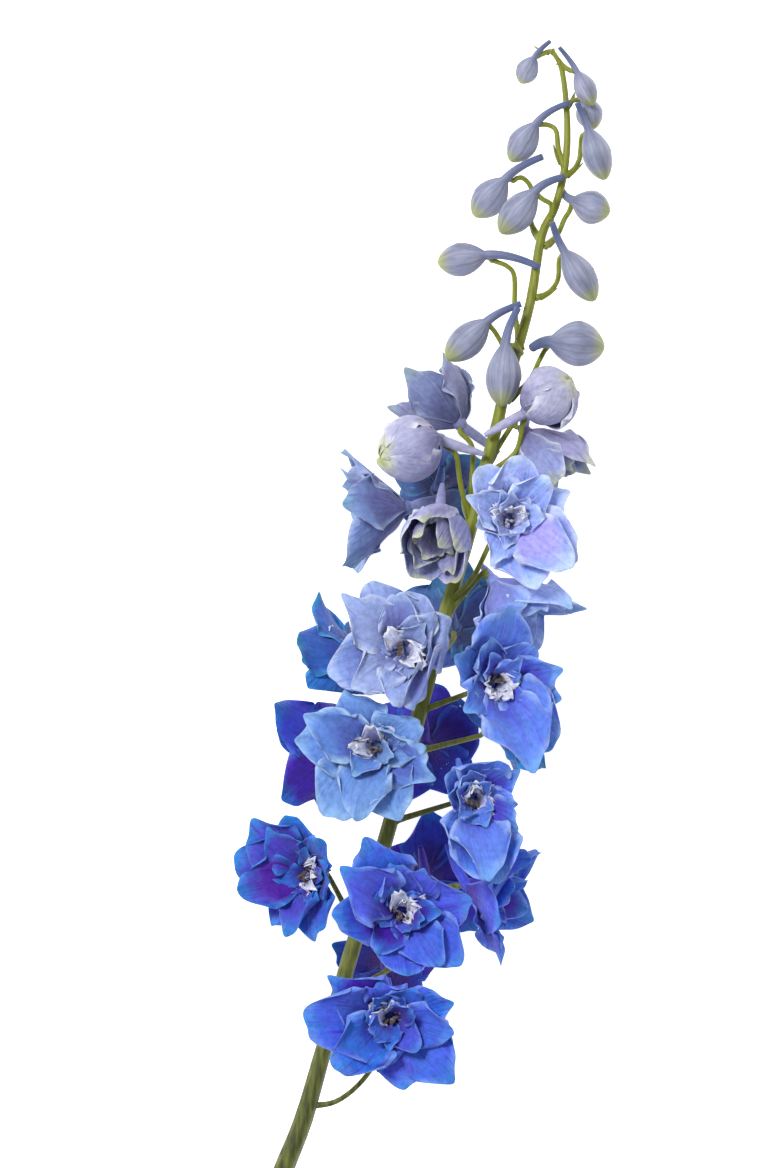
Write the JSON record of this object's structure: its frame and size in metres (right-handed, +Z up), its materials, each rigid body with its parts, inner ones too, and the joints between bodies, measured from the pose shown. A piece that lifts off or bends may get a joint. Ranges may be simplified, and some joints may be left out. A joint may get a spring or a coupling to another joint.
{
  "type": "delphinium flower spike",
  "caption": "Cut spike of semi-double blue delphinium lying on its side, open florets below and closed buds at the tip.",
  "frame": {"origin": "middle of the bounding box on the surface that the spike lies on", "axes": "+Y along the spike from its cut end to its tip, +Z up from the surface to the side that the picture shows"},
  "size_m": [0.1135, 0.3523, 0.0638],
  "materials": {
    "stem": "satin",
    "buds": "matte",
    "petals_lilac": "matte",
    "petals_sky": "matte",
    "petals_blue": "matte",
    "petals_royal": "matte",
    "bees": "matte"
  },
  "bodies": {
    "root": {"stem": "stem", "bud_01": "buds", "bud_02": "buds", "bud_03": "buds", "bud_04": "buds", "bud_05": "buds", "bud_06": "buds", "bud_07": "buds", "bud_08": "buds", "bud_09": "buds", "bud_10": "buds", "bud_11": "buds", "bud_12": "buds", "bud_13": "buds", "bloom_01": "petals_lilac", "bloom_02": "petals_lilac", "bloom_03": "petals_sky", "bloom_04": "petals_sky", "bloom_05": "petals_sky", "bloom_06": "petals_lilac", "bloom_07": "petals_sky", "bloom_08": "petals_sky", "bloom_09": "petals_blue", "bloom_10": "petals_blue", "bloom_11": "petals_sky", "bloom_12": "petals_blue", "bloom_13": "petals_blue", "bloom_14": "petals_royal", "bloom_15": "petals_blue", "bloom_16": "petals_blue", "bloom_17": "petals_royal", "bloom_18": "petals_royal", "bloom_19": "petals_royal", "bloom_20": "petals_royal", "bloom_21": "petals_royal", "bloom_22": "petals_royal", "bloom_23": "petals_royal", "bud_14": "petals_lilac", "bloom_04_bee": "bees", "bloom_05_bee": "bees", "bloom_07_bee": "bees", "bloom_08_bee": "bees", "bloom_09_bee": "bees", "bloom_10_bee": "bees", "bloom_11_bee": "bees", "bloom_12_bee": "bees", "bloom_13_bee": "bees", "bloom_14_bee": "bees", "bloom_15_bee": "bees", "bloom_16_bee": "bees", "bloom_17_bee": "bees", "bloom_18_bee": "bees", "bloom_19_bee": "bees", "bloom_20_bee": "bees", "bloom_21_bee": "bees", "bloom_22_bee": "bees", "bloom_23_bee": "bees"}
  },
  "joints": []
}
